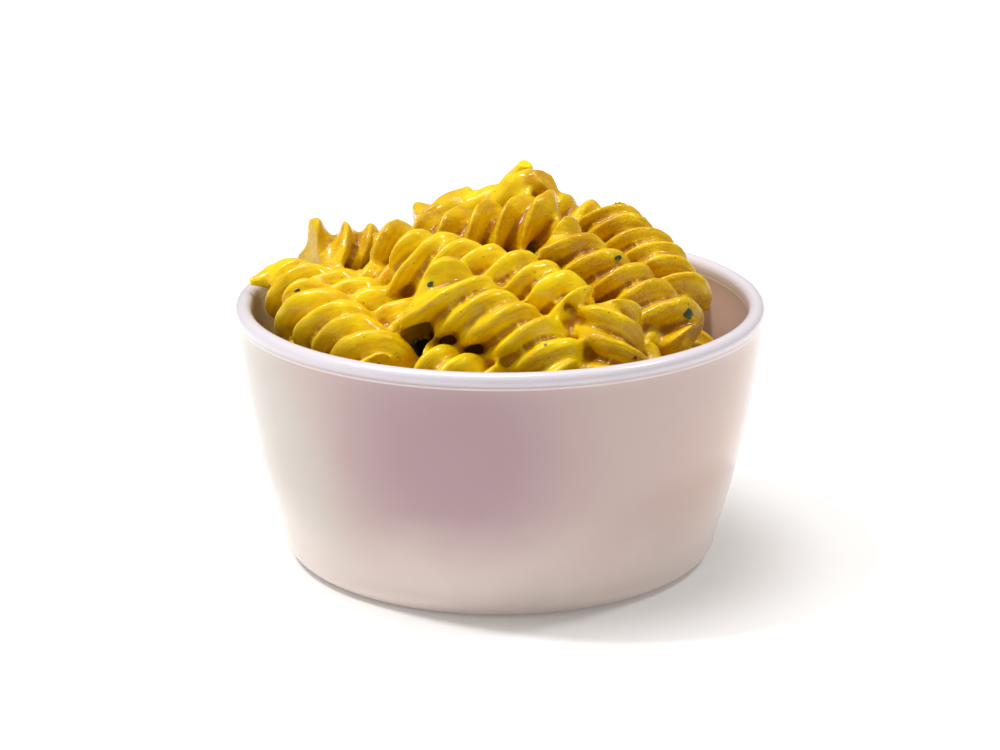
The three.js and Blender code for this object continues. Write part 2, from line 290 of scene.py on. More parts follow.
def clouded_glaze(tree, shader):
    place = add_node(tree, "TexCoord").outputs["Object"]
    drift = add_node(tree, "TexNoise", Vector=place, Scale=1 / (CLOUD_GRAIN_MM * MM), Detail=3.0)
    subtract, scale = {"operation": "SUBTRACT"}, {"operation": "SCALE"}
    centred = add_node(tree, "VectorMath", subtract, _0=drift.outputs["Color"], _1=(0.5,) * 3)
    moved = add_node(tree, "VectorMath", scale, _0=centred.outputs[0], Scale=2 * CLOUD_DRIFT_MM * MM)
    wandering = add_node(tree, "VectorMath", _0=place, _1=moved.outputs[0]).outputs[0]
    height = add_node(tree, "SeparateXYZ", _0=wandering).outputs["Z"]
    colour = linear(GLAZE_BLUSH)
    for centre, (inner, outer), hex_colour, strength in GLAZE_CLOUDS:
        middle = tuple(v * MM for v in centre)
        away = add_node(tree, "VectorMath", {"operation": "DISTANCE"}, _0=wandering, _1=middle)
        share = ramped(tree, away.outputs["Value"], inner * MM, outer * MM, strength, 0.0)
        colour = mixed(tree, share, colour, linear(hex_colour))
    # painted bounce light from the card: the glaze is made paler towards the foot
    foot_bounce_share = ramped(tree, height, FOOT_BOUNCE_MM[0] * MM, FOOT_BOUNCE_MM[1] * MM, FOOT_BOUNCE_SHARE, 0.0)
    colour = mixed(tree, foot_bounce_share, colour, linear(GLAZE_FOOT_BOUNCE))
    true_height = add_node(tree, "SeparateXYZ", _0=place).outputs["Z"]
    starts, full = [(BOWL_HEIGHT - below) * MM for below in LIP_GLAZE_MM]
    lip_share = ramped(tree, true_height, starts, full, 0.0, LIP_SHARE)
    colour = mixed(tree, lip_share, colour, linear(GLAZE_LIP))
    off_line = add_node(tree, "Math", {"operation": "SUBTRACT"}, _0=true_height, _1=SIDE_TOP[1] * MM)
    off_line = add_node(tree, "Math", {"operation": "ABSOLUTE"}, _0=off_line.outputs[0])
    line_share = ramped(tree, off_line.outputs[0], LINE_MM[0] * MM, LINE_MM[1] * MM, LINE_SHARE, 0.0)
    colour = mixed(tree, line_share, colour, linear(GLAZE_LINE))
    tree.links.new(colour, shader.inputs["Base Color"])
    ripple = add_node(tree, "TexNoise", Vector=place, Scale=1 / (GLAZE_RIPPLE_MM * MM), Detail=2.0)
    bump = add_node(
        tree, "Bump", Strength=0.06, Distance=GLAZE_RIPPLE_HEIGHT_MM * MM, Height=ripple.outputs["Fac"]
    )
    tree.links.new(bump.outputs[0], shader.inputs["Normal"])
    tree.links.new(bump.outputs[0], shader.inputs["Coat Normal"])


glaze, glaze_tree, glaze_shader = new_material("reactive_glazed_stoneware")
clouded_glaze(glaze_tree, glaze_shader)
glaze_shader.inputs["Roughness"].default_value = 0.28
glaze_shader.inputs["IOR"].default_value = 1.5
glaze_shader.inputs["Coat Weight"].default_value = 0.6
glaze_shader.inputs["Coat Roughness"].default_value = 0.06
glaze_shader.inputs["Subsurface Weight"].default_value = 0.15
glaze_shader.inputs["Subsurface Radius"].default_value = (1.0, 0.8, 0.7)
glaze_shader.inputs["Subsurface Scale"].default_value = 1.2 * MM
dress(bowl, "bowl", glaze)

# %% [markdown]
# ## One fusillo
#
# Fusilli are three blades round one axis, twisted as they leave the die: here to the left. Boiled,
# they are plump, with blunt edges and narrow grooves, no two alike. The section is drawn as a
# distance from the axis at each angle, swept along the axis while it turns, and rounded off at
# both ends. Some ends have opened like a flower, where the blades thin out and spread; others
# taper away. The crest of a blade lies off its middle and leans over a little, as it was cut and
# pushed in cooking. Each fusillo is made a little too fat here, and is drawn back in further on.

# %% Sizes that all fusilli share
BLADES = 3
POINTS_PER_BLADE = 20
END_ROUNDING = 2.0
END_ANGLES = [8, 30, 52, 74, 90]  # where sections are set on a rounded end, in degrees of its curve
BLUNT_END = 0.72  # size of the first and last section
OPEN_WIDER, OPEN_GROOVE, OPEN_UNTWIST = 0.2, 0.9, 0.75  # how an open end widens, fills and untwists
TAPER = 0.95  # how much of its size a fully tapered end loses
STEEP_FLANK, GENTLE_FLANK = (2.6, 2.1), (1.8, 1.15)  # how round the crest is, and how full its foot
# how each blade swells and thins: size, waves along the axis, from blade to blade and per piece
SWELLS = [(0.07, 0, 2.4, 1), (0.05, 0.55, 2.1, 1), (0.02, 1.7, 1.3, 2)]
CROWDED = 7  # degrees by which a blade is pushed towards the next
TWIST_STEP = 7.5  # degrees of twist from one section to the next
SAUCE_FILLS_MM = 0.4  # sauce closes every gap that is narrower than twice this
# Sizes are in mm and turns in degrees. open says how far the start and the end open out (1 is
# fully) or taper away (below 0), and reach over what length. groove is the distance from the axis
# to the bottom of a groove, lean how far a blade's edge is turned past its foot, skew how far its
# crest is off its middle, and thin how narrow it is.
USUAL = {
    "radius": 6.6, "pitch": 16.0, "turn": 0.0, "bow": 0.5, "open": (0, 0),
    "groove": 3.2, "lean": 3.0, "skew": 0.32, "thin": 1.0, "reach": 8.0, "tone": 0.5,
}


def section_angles():
    """The angle of each point of a section in degrees, its place across its blade, from -1 to 1,
    and which blade it belongs to."""
    half = 180 / BLADES
    across = np.tile(np.linspace(-1, 1, POINTS_PER_BLADE, endpoint=False), BLADES)
    blade_of = np.repeat(np.arange(BLADES), POINTS_PER_BLADE)
    return 2 * half * blade_of + half * across, across, blade_of


ANGLES, ACROSS, BLADE_OF = section_angles()
print(len(ANGLES), "points in a section")


def blade_height(across, skew):
    """0 in the groove and 1 on the crest: a steep side before the crest, a gentle one behind it."""
    steep = np.clip((-skew - across) / (1 - skew), 0, 1)
    gentle = np.clip((across + skew) / (1 + skew), 0, 1)
    before = (1 - steep ** STEEP_FLANK[0]) ** (1 / STEEP_FLANK[1])
    return before * (1 - gentle ** GENTLE_FLANK[0]) ** (1 / GENTLE_FLANK[1])


# %% Sweep a section into a fusillo
def frame_of(axis):
    """Start, direction and length of an axis, and two directions square to it: level and up."""
    start, end = np.array(axis[0], float), np.array(axis[1], float)
    length = np.linalg.norm(end - start)
    along = (end - start) / length
    level = np.cross((0, 0, 1), along)
    level /= np.linalg.norm(level)
    return start, along, length, level, np.cross(along, level)


def stations(length, pitch):
    """Distances along the axis at which a section is set, closer together at the rounded ends."""
    even = np.linspace(0, length, max(6, int(360 * length / pitch / TWIST_STEP)))
    even = even[(even > END_ROUNDING) & (even < length - END_ROUNDING)]
    end = END_ROUNDING * (1 - np.cos(np.radians(END_ANGLES)))
    return np.concatenate([end, even, (length - end)[::-1]])


def fusillo(piece, seed):
    """Points, faces and values per point of one fusillo."""
    piece = {**USUAL, **piece}
    start, along, length, level, up = frame_of(piece["axis"])
    distance = stations(length, piece["pitch"])
    at_ends = piece["open"][0] * smooth(1 - distance / piece["reach"])
    at_ends = at_ends + piece["open"][1] * smooth(1 - (length - distance) / piece["reach"])
    opened = np.maximum(at_ends, 0)[:, None]
    taper = 1 + TAPER * np.minimum(at_ends, 0)[:, None]
    tip = piece["radius"] * (1 + OPEN_WIDER * opened) * taper
    groove = (piece["groove"] + OPEN_GROOVE * opened) * taper

    plump = blade_height(ACROSS, piece["skew"]) ** piece["thin"]
    spread = np.minimum(1, 2.1 * (1 - np.abs(ACROSS)) ** 2)
    height = (1 - opened) * plump + opened * spread
    s = distance[:, None]
    uneven = sum(size * np.sin(a * s + b * BLADE_OF + c * seed) for size, a, b, c in SWELLS)
    reach = groove + (tip - groove) * height * (1 + uneven)
    from_end = np.minimum(distance, length - distance) / END_ROUNDING
    rounding = np.sqrt(1 - (1 - np.clip(from_end, 0, 1)) ** 2)[:, None]
    reach = reach * (BLUNT_END + (1 - BLUNT_END) * rounding) + SAUCE_FILLS_MM

    step = np.diff(distance, prepend=0) * (1 - OPEN_UNTWIST * opened[:, 0])
    step = step * (1 + 0.1 * np.sin(0.42 * distance + seed))
    twist = piece["turn"] - 360 / piece["pitch"] * np.cumsum(step)
    crowded = CROWDED * np.sin(1.9 * BLADE_OF + seed)
    angle = np.radians(ANGLES + crowded + twist[:, None] - piece["lean"] * (height - 0.5))
    bend = piece["bow"] * (1 - (2 * distance / length - 1) ** 2)
    centre = start + np.outer(distance, along) + np.outer(bend, up)
    points = centre[:, None] + reach[..., None] * (
        np.cos(angle)[..., None] * level + np.sin(angle)[..., None] * up
    )
    count = len(ANGLES)
    points = np.vstack([points.reshape(-1, 3), start + 0.3 * along, start + (length - 0.3) * along])
    faces = ring_faces(len(distance), count)
    first, last = len(points) - 2, len(points) - 1
    rim = (len(distance) - 1) * count
    for j in range(count):
        k = (j + 1) % count
        faces += [(first, k, j), (last, rim + j, rim + k)]
    flow = np.column_stack([
        np.tile(np.radians(ANGLES) * piece["radius"], len(distance)),
        np.repeat(distance, count) + 50 * seed,
        np.full(len(distance) * count, float(seed)),
    ])
    values = {
        "flow": np.vstack([flow, flow[:1], flow[-1:]]),
        "tone": np.full(len(points), piece["tone"]),
    }
    return points, faces, values


# %% [markdown]
# ## Where each fusillo lies
#
# The heap in the bowl isn't random to the eye: each piece that shows has its own place, length,
# twist and ends, so each has a name. They lie where the solid model has them, apart from a few
# ends that are turned or moved by up to 1.5 mm. Below them, along the wall, a row of pieces closes
# the heap down to the glaze; these are worked out by a rule, as they only show in the gaps. `tone`
# is the pasta's own colour, from pale where the sauce is thick and creamy (1) to a deeper olive
# gold where it is thin and wet (0).

# %% The pieces that show
SHOWN = {
    "left_front": dict(
        axis=((-37.5, -8, 49.5), (-19.5, -34, 43.5)),
        turn=30, pitch=18.5, bow=1, open=(0, 0.2), tone=0.55,
    ),
    "left": dict(
        axis=((-41, 4, 49), (-15, -19.5, 46.5)),
        turn=0, pitch=18, bow=1.2, open=(0.2, 0), tone=0.65,
    ),
    "left_tip": dict(
        axis=((-37, 7, 50.9), (-48, 2.5, 51.1)),
        turn=0, pitch=30, radius=3.7, open=(0, -0.8), tone=0.75,
    ),
    "front": dict(
        axis=((-14.5, -24, 57), (12.5, -37, 43.5)),
        turn=104, pitch=15, bow=2.5, open=(1, 0.1), groove=3.8, lean=2, skew=0.15, reach=11, tone=0.6,
    ),
    "middle": dict(
        axis=((-19, -9, 58.5), (16, -25.5, 52.5)),
        turn=40, pitch=15.5, bow=1.6, groove=3.0, lean=5, tone=0.75,
    ),
    "top": dict(
        axis=((-24, 6, 54), (12, 4, 62.5)),
        turn=60, pitch=17.5, radius=6.9, open=(0.5, 0.4), groove=2.6, lean=4, skew=0.1, thin=2.4, tone=0.35,
    ),
    "crown": dict(
        axis=((-4.5, 22, 57.5), (8.5, 15, 65)),
        turn=20, pitch=30, radius=5.8, open=(0, 0.5), tone=0.7,
    ),
    "crown_tip": dict(
        axis=((2, 27, 55), (5, 22, 70)),
        turn=90, pitch=22, radius=4.2, open=(0, -0.65), tone=1,
    ),
    "right_back": dict(
        axis=((8, 15, 59.3), (28, 14, 54)),
        turn=50, pitch=15.5, tone=0.5,
    ),
    "crown_scrap": dict(
        axis=((5.6, 16.5, 64), (9.4, 14.8, 68.4)),
        turn=10, pitch=26, radius=2.8, open=(0, 0.4), tone=0.1,
    ),
    "left_blade": dict(
        axis=((-16.5, 22, 55.5), (-3.5, 24, 57)),
        turn=30, pitch=45, open=(1, 0.5), tone=0.4,
    ),
    "left_back": dict(
        axis=((-37, 15, 52.5), (-16, 27, 50)),
        turn=90, pitch=16.5, open=(1, 0), thin=1.9, tone=0.4,
    ),
    "right_front": dict(
        axis=((8, -6, 60), (35, -18, 45.5)),
        turn=60, pitch=16.5, bow=1.2, open=(1, 0.3), tone=0.3,
    ),
    "front_stub": dict(
        axis=((18.5, -26.5, 55), (21, -34.5, 42.5)),
        turn=60, radius=6.2, open=(0.3, 0), tone=0.35,
    ),
    "right": dict(
        axis=((18.5, 13, 59.5), (35, -8, 47.5)),
        turn=60, pitch=13.5, radius=7, bow=1.6, open=(0.3, 0), tone=0.35,
    ),
    "under_front": dict(
        axis=((-15, -33, 44.5), (0, -37.5, 41)),
        turn=60, radius=6.2, open=(0.3, 0), tone=0.7,
    ),
    "under_right": dict(
        axis=((29, -25.5, 42), (10, -36.5, 41)),
        turn=20, radius=6.3, tone=0.4,
    ),
    "under_middle": dict(
        axis=((-26, -1.5, 49.5), (9, -6.5, 53)),
        turn=40, radius=6.4, tone=0.4,
    ),
    "under_left": dict(
        axis=((-39, 10, 44), (-24, 4, 48)),
        turn=110, radius=5.8, tone=0.5,
    ),
    "under_top": dict(
        axis=((-22, 13.5, 51.5), (-1, 15.5, 54.5)),
        turn=50, radius=6.3, tone=0.5,
    ),
    "between_right": dict(
        axis=((11, 0.5, 52.5), (29, -4.5, 47.5)),
        turn=10, radius=6, tone=0.3,
    ),
    "between_front": dict(
        axis=((15, -21, 48), (31, -16, 43)),
        turn=80, radius=6, tone=0.4,
    ),
    "back_left": dict(
        axis=((-34, 20.5, 44), (-11, 35.5, 44)),
        turn=15, tone=0.6,
    ),
    "back": dict(
        axis=((-11, 37, 46), (14, 35, 50.5)),
        turn=70, bow=1, tone=0.7,
    ),
    "back_right": dict(
        axis=((16, 33, 49.5), (34, 18, 44)),
        turn=100, open=(0, 0.3), tone=0.5,
    ),
    "behind_right": dict(
        axis=((8, 25, 55), (27, 24, 50)),
        turn=25, tone=0.6,
    ),
}


# %% The row along the wall
WALL_ROW = dict(count=8, distance=35.6, length=22, radius=6.2, start=20, turn_step=53)
WALL_HEIGHTS = (35, 36.2, 37.4)
WALL_HEADINGS = (4, -5, 3)  # degrees off the wall's own direction
WALL_TILTS = (5, -6, 2)


def wall_piece(i):
    place = math.radians(WALL_ROW["start"] + 360 / WALL_ROW["count"] * i)
    heading = place + math.radians(90 + WALL_HEADINGS[i % 3])
    tilt = math.radians(WALL_TILTS[i % 3])
    middle = np.array([math.cos(place), math.sin(place), 0]) * WALL_ROW["distance"]
    middle[2] = WALL_HEIGHTS[i % 3]
    direction = np.array([math.cos(heading), math.sin(heading), 0]) * math.cos(tilt)
    direction[2] = math.sin(tilt)
    half = direction * WALL_ROW["length"] / 2
    turn = WALL_ROW["turn_step"] * i
    return dict(axis=(middle - half, middle + half), turn=turn, radius=WALL_ROW["radius"], tone=0.4)


# %% [markdown]
# ## Unevenness
#
# Boiled pasta under sauce isn't a clean extrusion. A slow noise moves each point in or out by a
# few tenths of a millimetre, which makes the blades swell and thin along their length.

# %% Push points in and out
LUMPS = [(7.0, 0.45), (2.6, 0.16)]  # size of the lumps and how high they are, in mm


def uneven_points(points, faces):
    """The points moved along their normals by the sum of the lumps."""
    mesh = bpy.data.meshes.new("scratch")
    mesh.from_pydata(points.tolist(), [], faces)
    normals = np.array([v.normal[:] for v in mesh.vertices])
    bpy.data.meshes.remove(mesh)
    height = np.zeros(len(points))
    for size, rise in LUMPS:
        height += rise * np.array([noise.noise(Vector(p) / size) for p in points])
    return points + normals * height[:, None]


# %% Gather the fusilli by where they lie
def joined(named_pieces):
    """Points, faces and values of several fusilli as one mesh."""
    points, faces, values, count = [], [], {}, 0
    for name, piece in named_pieces.items():
        seed = sum(name.encode()) % 97
        p, f, v = fusillo(piece, seed)
        p = uneven_points(p, f)
        points.append(p)
        faces += [tuple(index + count for index in face) for face in f]
        for key, numbers in v.items():
            values.setdefault(key, []).append(numbers)
        count += len(p)
    return np.vstack(points), faces, {key: np.concatenate(v) for key, v in values.items()}


BACK = ("back_left", "back", "back_right", "behind_right", "under_top", "left_back", "left_blade")
CROWN = (
    "top", "crown", "crown_tip", "crown_scrap", "right_back", "under_middle", "under_left",
    "between_right",
)
groups = {
    "fusilli_front": {n: p for n, p in SHOWN.items() if n not in BACK + CROWN},
    "fusilli_crown": {n: SHOWN[n] for n in CROWN},
    "fusilli_back": {n: SHOWN[n] for n in BACK},
    "fusilli_wall_row": {f"wall_{i}": wall_piece(i) for i in range(WALL_ROW["count"])},
}
gathered = {name: joined(pieces) for name, pieces in groups.items()}
for name, (points, faces, values) in gathered.items():
    print(name, len(groups[name]), "fusilli,", len(points), "points")

# %% [markdown]
# ## The core
#
# Under the pieces that show, a real bowl holds more of the same. What can be seen of it through
# the gaps is dark, so it is one rough mound a little under the fusilli, whose only job is that no
# gap looks down on bare glaze.

# %% Turn the core
CORE_SHOULDER = 30.0
CORE_TOP = 55.5
CORE_GAP = 0.5
CORE_FROM = 20  # nothing of it shows below this height
CORE_SIDES = 96
CORE_LUMP_MM = (4.5, 1.4)  # size of its lumps and how high they are
CORE_SUNK_MM = 0.9


def core_outline():
    heights = np.linspace(CORE_FROM, CORE_SHOULDER, 3)
    wall = [(side_radius(z) - WALL - CORE_GAP, z) for z in heights]
    shoulder = wall[-1][0]
    share = np.linspace(1, 0, 14)[1:]
    mound = [(max(shoulder * k, 0.01), CORE_TOP - (CORE_TOP - CORE_SHOULDER) * k**1.3) for k in share]
    return [(0.01, CORE_FROM)] + wall + mound


core_profile = core_outline()
core_turns = 2 * math.pi * np.arange(CORE_SIDES) / CORE_SIDES
core_points = np.array([(r * math.cos(a), r * math.sin(a), z) for r, z in core_profile for a in core_turns])
core_faces = ring_faces(len(core_profile), CORE_SIDES)
lump_size, lump_height = CORE_LUMP_MM
core_lumps = np.array([
    lump_height * noise.noise(Vector(p) / lump_size) - CORE_SUNK_MM for p in core_points
])
core_points[:, 2] += np.where(core_points[:, 2] > CORE_SHOULDER + 1, core_lumps + SAUCE_FILLS_MM, 0)
core_values = {
    "flow": np.zeros((len(core_points), 3)),
    "tone": np.full(len(core_points), 0.2),
}
gathered["sauced_core"] = (core_points, core_faces, core_values)

# %% [markdown]
# ## One skin of sauce
#
# The sauce is thick enough to hang in every corner where two blades or two pieces touch, and it
# rounds those corners off. So the whole heap is fused into one skin by a voxel remesh, which works
# like dipping it: every gap narrower than a voxel closes, and some rounds of smoothing leave a
# soft fillet there. The remesh forgets what each point was, so each new point then takes its
# values from the nearest old one. As the fusilli were made too fat, narrow gaps have closed too,
# and drawing the skin back in along its normals gives the blades their true size again.

# %% Fuse the heap
SKIN_VOXEL_MM = 0.45
SKIN_SMOOTHING = 7
SKIN_FROM_MM = 33.0  # nothing below this height shows


def fused(parts):
    """One mesh round all the parts."""
    points = np.vstack([part[0] for part in parts])
    starts = np.cumsum([0] + [len(part[0]) for part in parts])
    faces = [
        tuple(index + first for index in face) for part, first in zip(parts, starts) for face in part[1]
    ]
    rough = add_mesh("rough_heap", points, faces)
    remesh = rough.modifiers.new("fuse", "REMESH")
    remesh.mode = "VOXEL"
    remesh.voxel_size = SKIN_VOXEL_MM * MM
    smoothing = rough.modifiers.new("smooth", "SMOOTH")
    smoothing.factor = 0.5
    smoothing.iterations = SKIN_SMOOTHING
    mesh = bpy.data.meshes.new_from_object(rough.evaluated_get(bpy.context.evaluated_depsgraph_get()))
    bpy.data.objects.remove(rough)
    return mesh


skin = fused(list(gathered.values()))
print("skin", len(skin.polygons), "faces")

# %% Give the skin's points their values
def corners_of(mesh):
    count = len(mesh.polygons)
    corners = np.empty(4 * count, dtype=np.int32)
    mesh.loops.foreach_get("vertex_index", corners)
    return corners.reshape(count, 4)


def neighbours(faces):
    """For all points in turn, the points next to each, and where each one's own stretch starts."""
    pairs = np.vstack([faces[:, [i, (i + 1) % 4]] for i in range(4)])
    pairs = np.vstack([pairs, pairs[:, ::-1]])
    pairs = pairs[np.argsort(pairs[:, 0], kind="stable")]
    starts = np.searchsorted(pairs[:, 0], np.arange(pairs[-1, 0] + 1))
    return pairs[:, 1], starts, np.diff(np.append(starts, len(pairs)))[:, None]


def blurred(values, next_to, rounds):
    """Each point's value averaged with those next to it, round after round."""
    others, starts, count = next_to
    for _ in range(rounds):
        values = 0.5 * values + 0.5 * np.add.reduceat(values[others], starts, axis=0) / count
    return values


skin_points = np.empty(3 * len(skin.vertices), dtype=np.float32)
skin.vertices.foreach_get("co", skin_points)
skin_points = skin_points.reshape(-1, 3) / MM
skin_normals = np.empty(3 * len(skin.vertices), dtype=np.float32)
skin.vertex_normals.foreach_get("vector", skin_normals)
skin_normals = skin_normals.reshape(-1, 3)
skin_faces = corners_of(skin)

source_points = np.vstack([part[0] for part in gathered.values()])
source_values = np.vstack([
    np.column_stack([part[2]["tone"], part[2]["flow"]]) for part in gathered.values()
])
source_group = np.repeat(np.arange(len(gathered)), [len(part[0]) for part in gathered.values()])
nearest = kdtree.KDTree(len(source_points))
for index, point in enumerate(source_points):
    nearest.insert(point, index)
nearest.balance()
closest = np.array([nearest.find(point)[1] for point in skin_points])
next_to = neighbours(skin_faces)
skin_values = blurred(source_values[closest], next_to, rounds=3)
skin_group = source_group[closest]
print("values given to", len(skin_points), "points")

# %% Draw the skin back in, and press the small hollows
# Where a blade curls over itself it leaves a small deep hole: its middle, how wide and how deep.
HOLLOWS = [((12.5, -29.6, 55.5), 1.2, 2.4)]

skin_points = skin_points - SAUCE_FILLS_MM * skin_normals
for middle, width, depth in HOLLOWS:
    away = np.linalg.norm(skin_points - np.array(middle), axis=1)
    skin_points = skin_points - skin_normals * (depth * np.exp(-((away / width) ** 2)))[:, None]
skin.vertices.foreach_set("co", (skin_points * MM).astype(np.float32).ravel())
skin.update()
skin.vertex_normals.foreach_get("vector", skin_normals.ravel())

# %% How deep in a hollow each point lies
def hollow(rounds):
    """How far the blurred skin lies outside the skin, in mm: above 0 in a hollow."""
    filled = blurred(skin_points.astype(float), next_to, rounds)
    return ((filled - skin_points) * skin_normals).sum(axis=1)


CREASE_ROUNDS, DIP_ROUNDS = 12, 90  # few rounds find the narrow creases, many the broad dips
crease, dip = hollow(CREASE_ROUNDS), hollow(DIP_ROUNDS)
print("crease", np.percentile(crease, [1, 10, 50, 90, 99]).round(2))
print("dip", np.percentile(dip, [1, 10, 50, 90, 99]).round(2))

# %% Cut the skin into its pieces
def largest_shell(faces, count):
    """True for each point that belongs to the largest connected part."""
    label = np.arange(count)
    pairs = np.vstack([faces[:, [0, 1]], faces[:, [1, 2]], faces[:, [2, 3]]])
    while True:
        lowest = np.minimum(label[pairs[:, 0]], label[pairs[:, 1]])
        before = label.copy()
        np.minimum.at(label, pairs[:, 0], lowest)
        np.minimum.at(label, pairs[:, 1], lowest)
        label = label[label]
        if np.array_equal(label, before):
            return label == np.bincount(label).argmax()


kept = largest_shell(skin_faces, len(skin_points)) & (skin_points[:, 2] > SKIN_FROM_MM)
kept_faces = skin_faces[kept[skin_faces].all(axis=1)]
pasta_pieces = {}
for number, name in enumerate(gathered):
    own = kept_faces[skin_group[kept_faces[:, 0]] == number]
    used, local = np.unique(own, return_inverse=True)
    values = {
        "tone": skin_values[used, 0],
        "flow": skin_values[used, 1:],
        "crease": crease[used],
        "dip": dip[used],
    }
    piece = add_mesh(name, skin_points[used], local.reshape(-1, 4).tolist(), values)
    piece.data.normals_split_custom_set_from_vertices(skin_normals[used].tolist())
    pasta_pieces[name] = piece
    print(name, 2 * len(own), "triangles")

# %% [markdown]
# ## Herb flakes
#
# A few scraps of green leaf and dark herb are caught in the sauce. Each is a thin plate with an
# uneven edge, curled a little, laid on the skin of sauce.

# %% Lay the flakes
FLAKES = [
    # the largest and blackest flake lies in a deep gap: its black is partly painted shade
    dict(at=(-14.4, -19.2, 45.1), facing=(0.4, -0.8, 0.45), turn=0, size=2.3, dark=1.0),
    dict(at=(34.3, -18.8, 51.6), facing=(0.5, -0.84, 0.2), turn=90, size=1.5, dark=0.0),
    dict(at=(-37.6, -12.2, 53.6), facing=(-0.14, -0.96, 0.25), turn=20, size=0.8, dark=0.8),
    dict(at=(-12.5, -28.8, 59.5), facing=(-0.18, -0.9, 0.39), turn=50, size=0.7, dark=0.6),
    dict(at=(21.5, -12.4, 60), facing=(0.64, -0.66, 0.39), turn=0, size=0.7, dark=0.5),
]
FLAKE_THICKNESS = 0.35
FLAKE_WIDTH = 0.65  # as a share of its length
FLAKE_CURL = 0.35
FLAKE_SUNK = 0.1  # how deep it is pressed into the sauce
FLAKE_CORNERS = 22


def flake(spec, seed):
    """A curled leaf scrap: two faces and an edge between them."""
    centre = np.array(spec["at"], float)
    outwards = np.array(spec["facing"]) / np.linalg.norm(spec["facing"])
    level = np.cross((0, 0, 1), outwards)
    level /= np.linalg.norm(level)
    turn = math.radians(spec["turn"])
    along = math.cos(turn) * level + math.sin(turn) * np.cross(outwards, level)
    across = np.cross(outwards, along)
    draw = random.Random(seed)
    wobble = [draw.uniform(0.75, 1.15) for _ in range(FLAKE_CORNERS)]
    points = []
    for lift in (0.0, FLAKE_THICKNESS):
        for ring in (1.0, 0.55):
            for i in range(FLAKE_CORNERS):
                a = 2 * math.pi * i / FLAKE_CORNERS
                reach = spec["size"] * ring * wobble[i]
                x, y = reach * math.cos(a), FLAKE_WIDTH * reach * math.sin(a)
                curl = FLAKE_CURL * math.sin(1.3 * x + seed) * ring - 0.06 * y * y
                points.append(centre + along * x + across * y + outwards * (lift + curl - FLAKE_SUNK))
        points.append(centre + outwards * (lift - FLAKE_SUNK))
    n = FLAKE_CORNERS
    faces = []
    for side_start, flip in ((0, True), (2 * n + 1, False)):
        for i in range(n):
            k = (i + 1) % n
            quad = (side_start + i, side_start + k, side_start + n + k, side_start + n + i)
            fan = (side_start + n + i, side_start + n + k, side_start + 2 * n)
            faces += [quad[::-1], fan[::-1]] if flip else [quad, fan]
    upper = 2 * n + 1
    faces += [(i, (i + 1) % n, upper + (i + 1) % n, upper + i) for i in range(n)]
    return np.array(points), faces, np.full(len(points), spec["dark"])


flake_points, flake_faces, flake_dark = [], [], []
for number, spec in enumerate(FLAKES):
    p, f, dark = flake(spec, number + 3)
    offset = sum(len(q) for q in flake_points)
    flake_points.append(p)
    flake_faces += [tuple(index + offset for index in face) for face in f]
    flake_dark.append(dark)
herbs = add_mesh("herb_flakes", np.vstack(flake_points), flake_faces, {"dark": np.concatenate(flake_dark)})

# %% [markdown]
# ## Pasta under sauce
#
# Boiled durum pasta is a pale yellow, slightly translucent starch gel, and the sauce over it is a
# golden emulsion of oil and cream. The gel scatters light inside, which warms and softens the
# shadows: subsurface scattering, red travelling furthest. The oil gives it a wet coat, and as the
# coat does most of the shining, the pasta's own specular level is low. Its colour runs from a
# bright egg yellow on the crests to a deep ochre in the grooves and dips: partly the sauce that
# collects there, partly painted shade. Sharp edges get a paler yellow, a painted glow of light
# coming through the layer. Streaks and fine lines run along the blades, drawn by the bronze die,
# and the pieces with a low tone are more wrinkled.

# %% Sauced pasta
CREST_PALE = "#fbdc0c"
CREST_DEEP = "#cf9c00"
# groove colours: the sauce that pools there, and painted shade
GROOVE_PALE = "#d09a00"
GROOVE_DEEP = "#a06400"
EDGE_LIT = "#ffea3e"  # painted glow on sharp edges, as of light coming through
EDGE_MM = (-0.1, -0.3)  # crease where an edge starts to be lit, and where it is fully lit
EDGE_SHARE = 0.6
CREASE_MM = (0.08, 0.32)  # how deep a crease is where pooled sauce and painted shade start to darken it, and where they are full
DIP_MM = (0.3, 1.6)
SPOT_BROWN = "#6b4a10"
SPECK_DARK = "#2e2408"
PATCH_MM = 4.5  # how large the lighter and darker patches are
DIE_LINE_MM = 0.55
STREAK_MM = 1.6  # how wide the streaks of deeper colour along the blades are
SPOT_SPACING_MM = 4.2
SPECK_SPACING_MM = 2.2
SPOT_RAGGED_MM = 0.6  # grain of a spot's ragged edge
PICKED_ABOVE = 0.62  # a cell has a spot where its draw is above this
DIE_LINE_DEPTH_MM = 0.25
WRINKLE_MM = 0.7
WRINKLE_DEPTH_MM = 0.3
WRINKLE_TONES = (0.3, 0.6)  # from a wet, thin sauce to a thick one,
WRINKLE_STRENGTHS = (0.8, 0.3)  # the wrinkles fade from the first strength to the second
MULTIPLY = {"operation": "MULTIPLY"}


def spots(tree, place, spacing_mm, size, wobble):
    """1 on small dots, one in each Voronoi cell that a random draw picks."""
    cell = add_node(tree, "TexVoronoi", Vector=place, Scale=1 / (spacing_mm * MM), Randomness=1.0)
    ragged = add_node(tree, "TexNoise", Vector=place, Scale=1 / (SPOT_RAGGED_MM * MM), Detail=2.0)
    far = add_node(tree, "Math", {"operation": "MULTIPLY_ADD"}, _0=ragged.outputs["Fac"], _1=wobble)
    tree.links.new(cell.outputs["Distance"], far.inputs[2])
    near = ramped(tree, far.outputs[0], wobble * 0.5 + size * 0.6, wobble * 0.5 + size, 1.0, 0.0)
    draw = add_node(tree, "SeparateColor", Color=cell.outputs["Color"]).outputs[0]
    picked = add_node(tree, "Math", {"operation": "GREATER_THAN"}, _0=draw, _1=PICKED_ABOVE).outputs[0]
    return add_node(tree, "Math", MULTIPLY, _0=near, _1=picked).outputs[0]


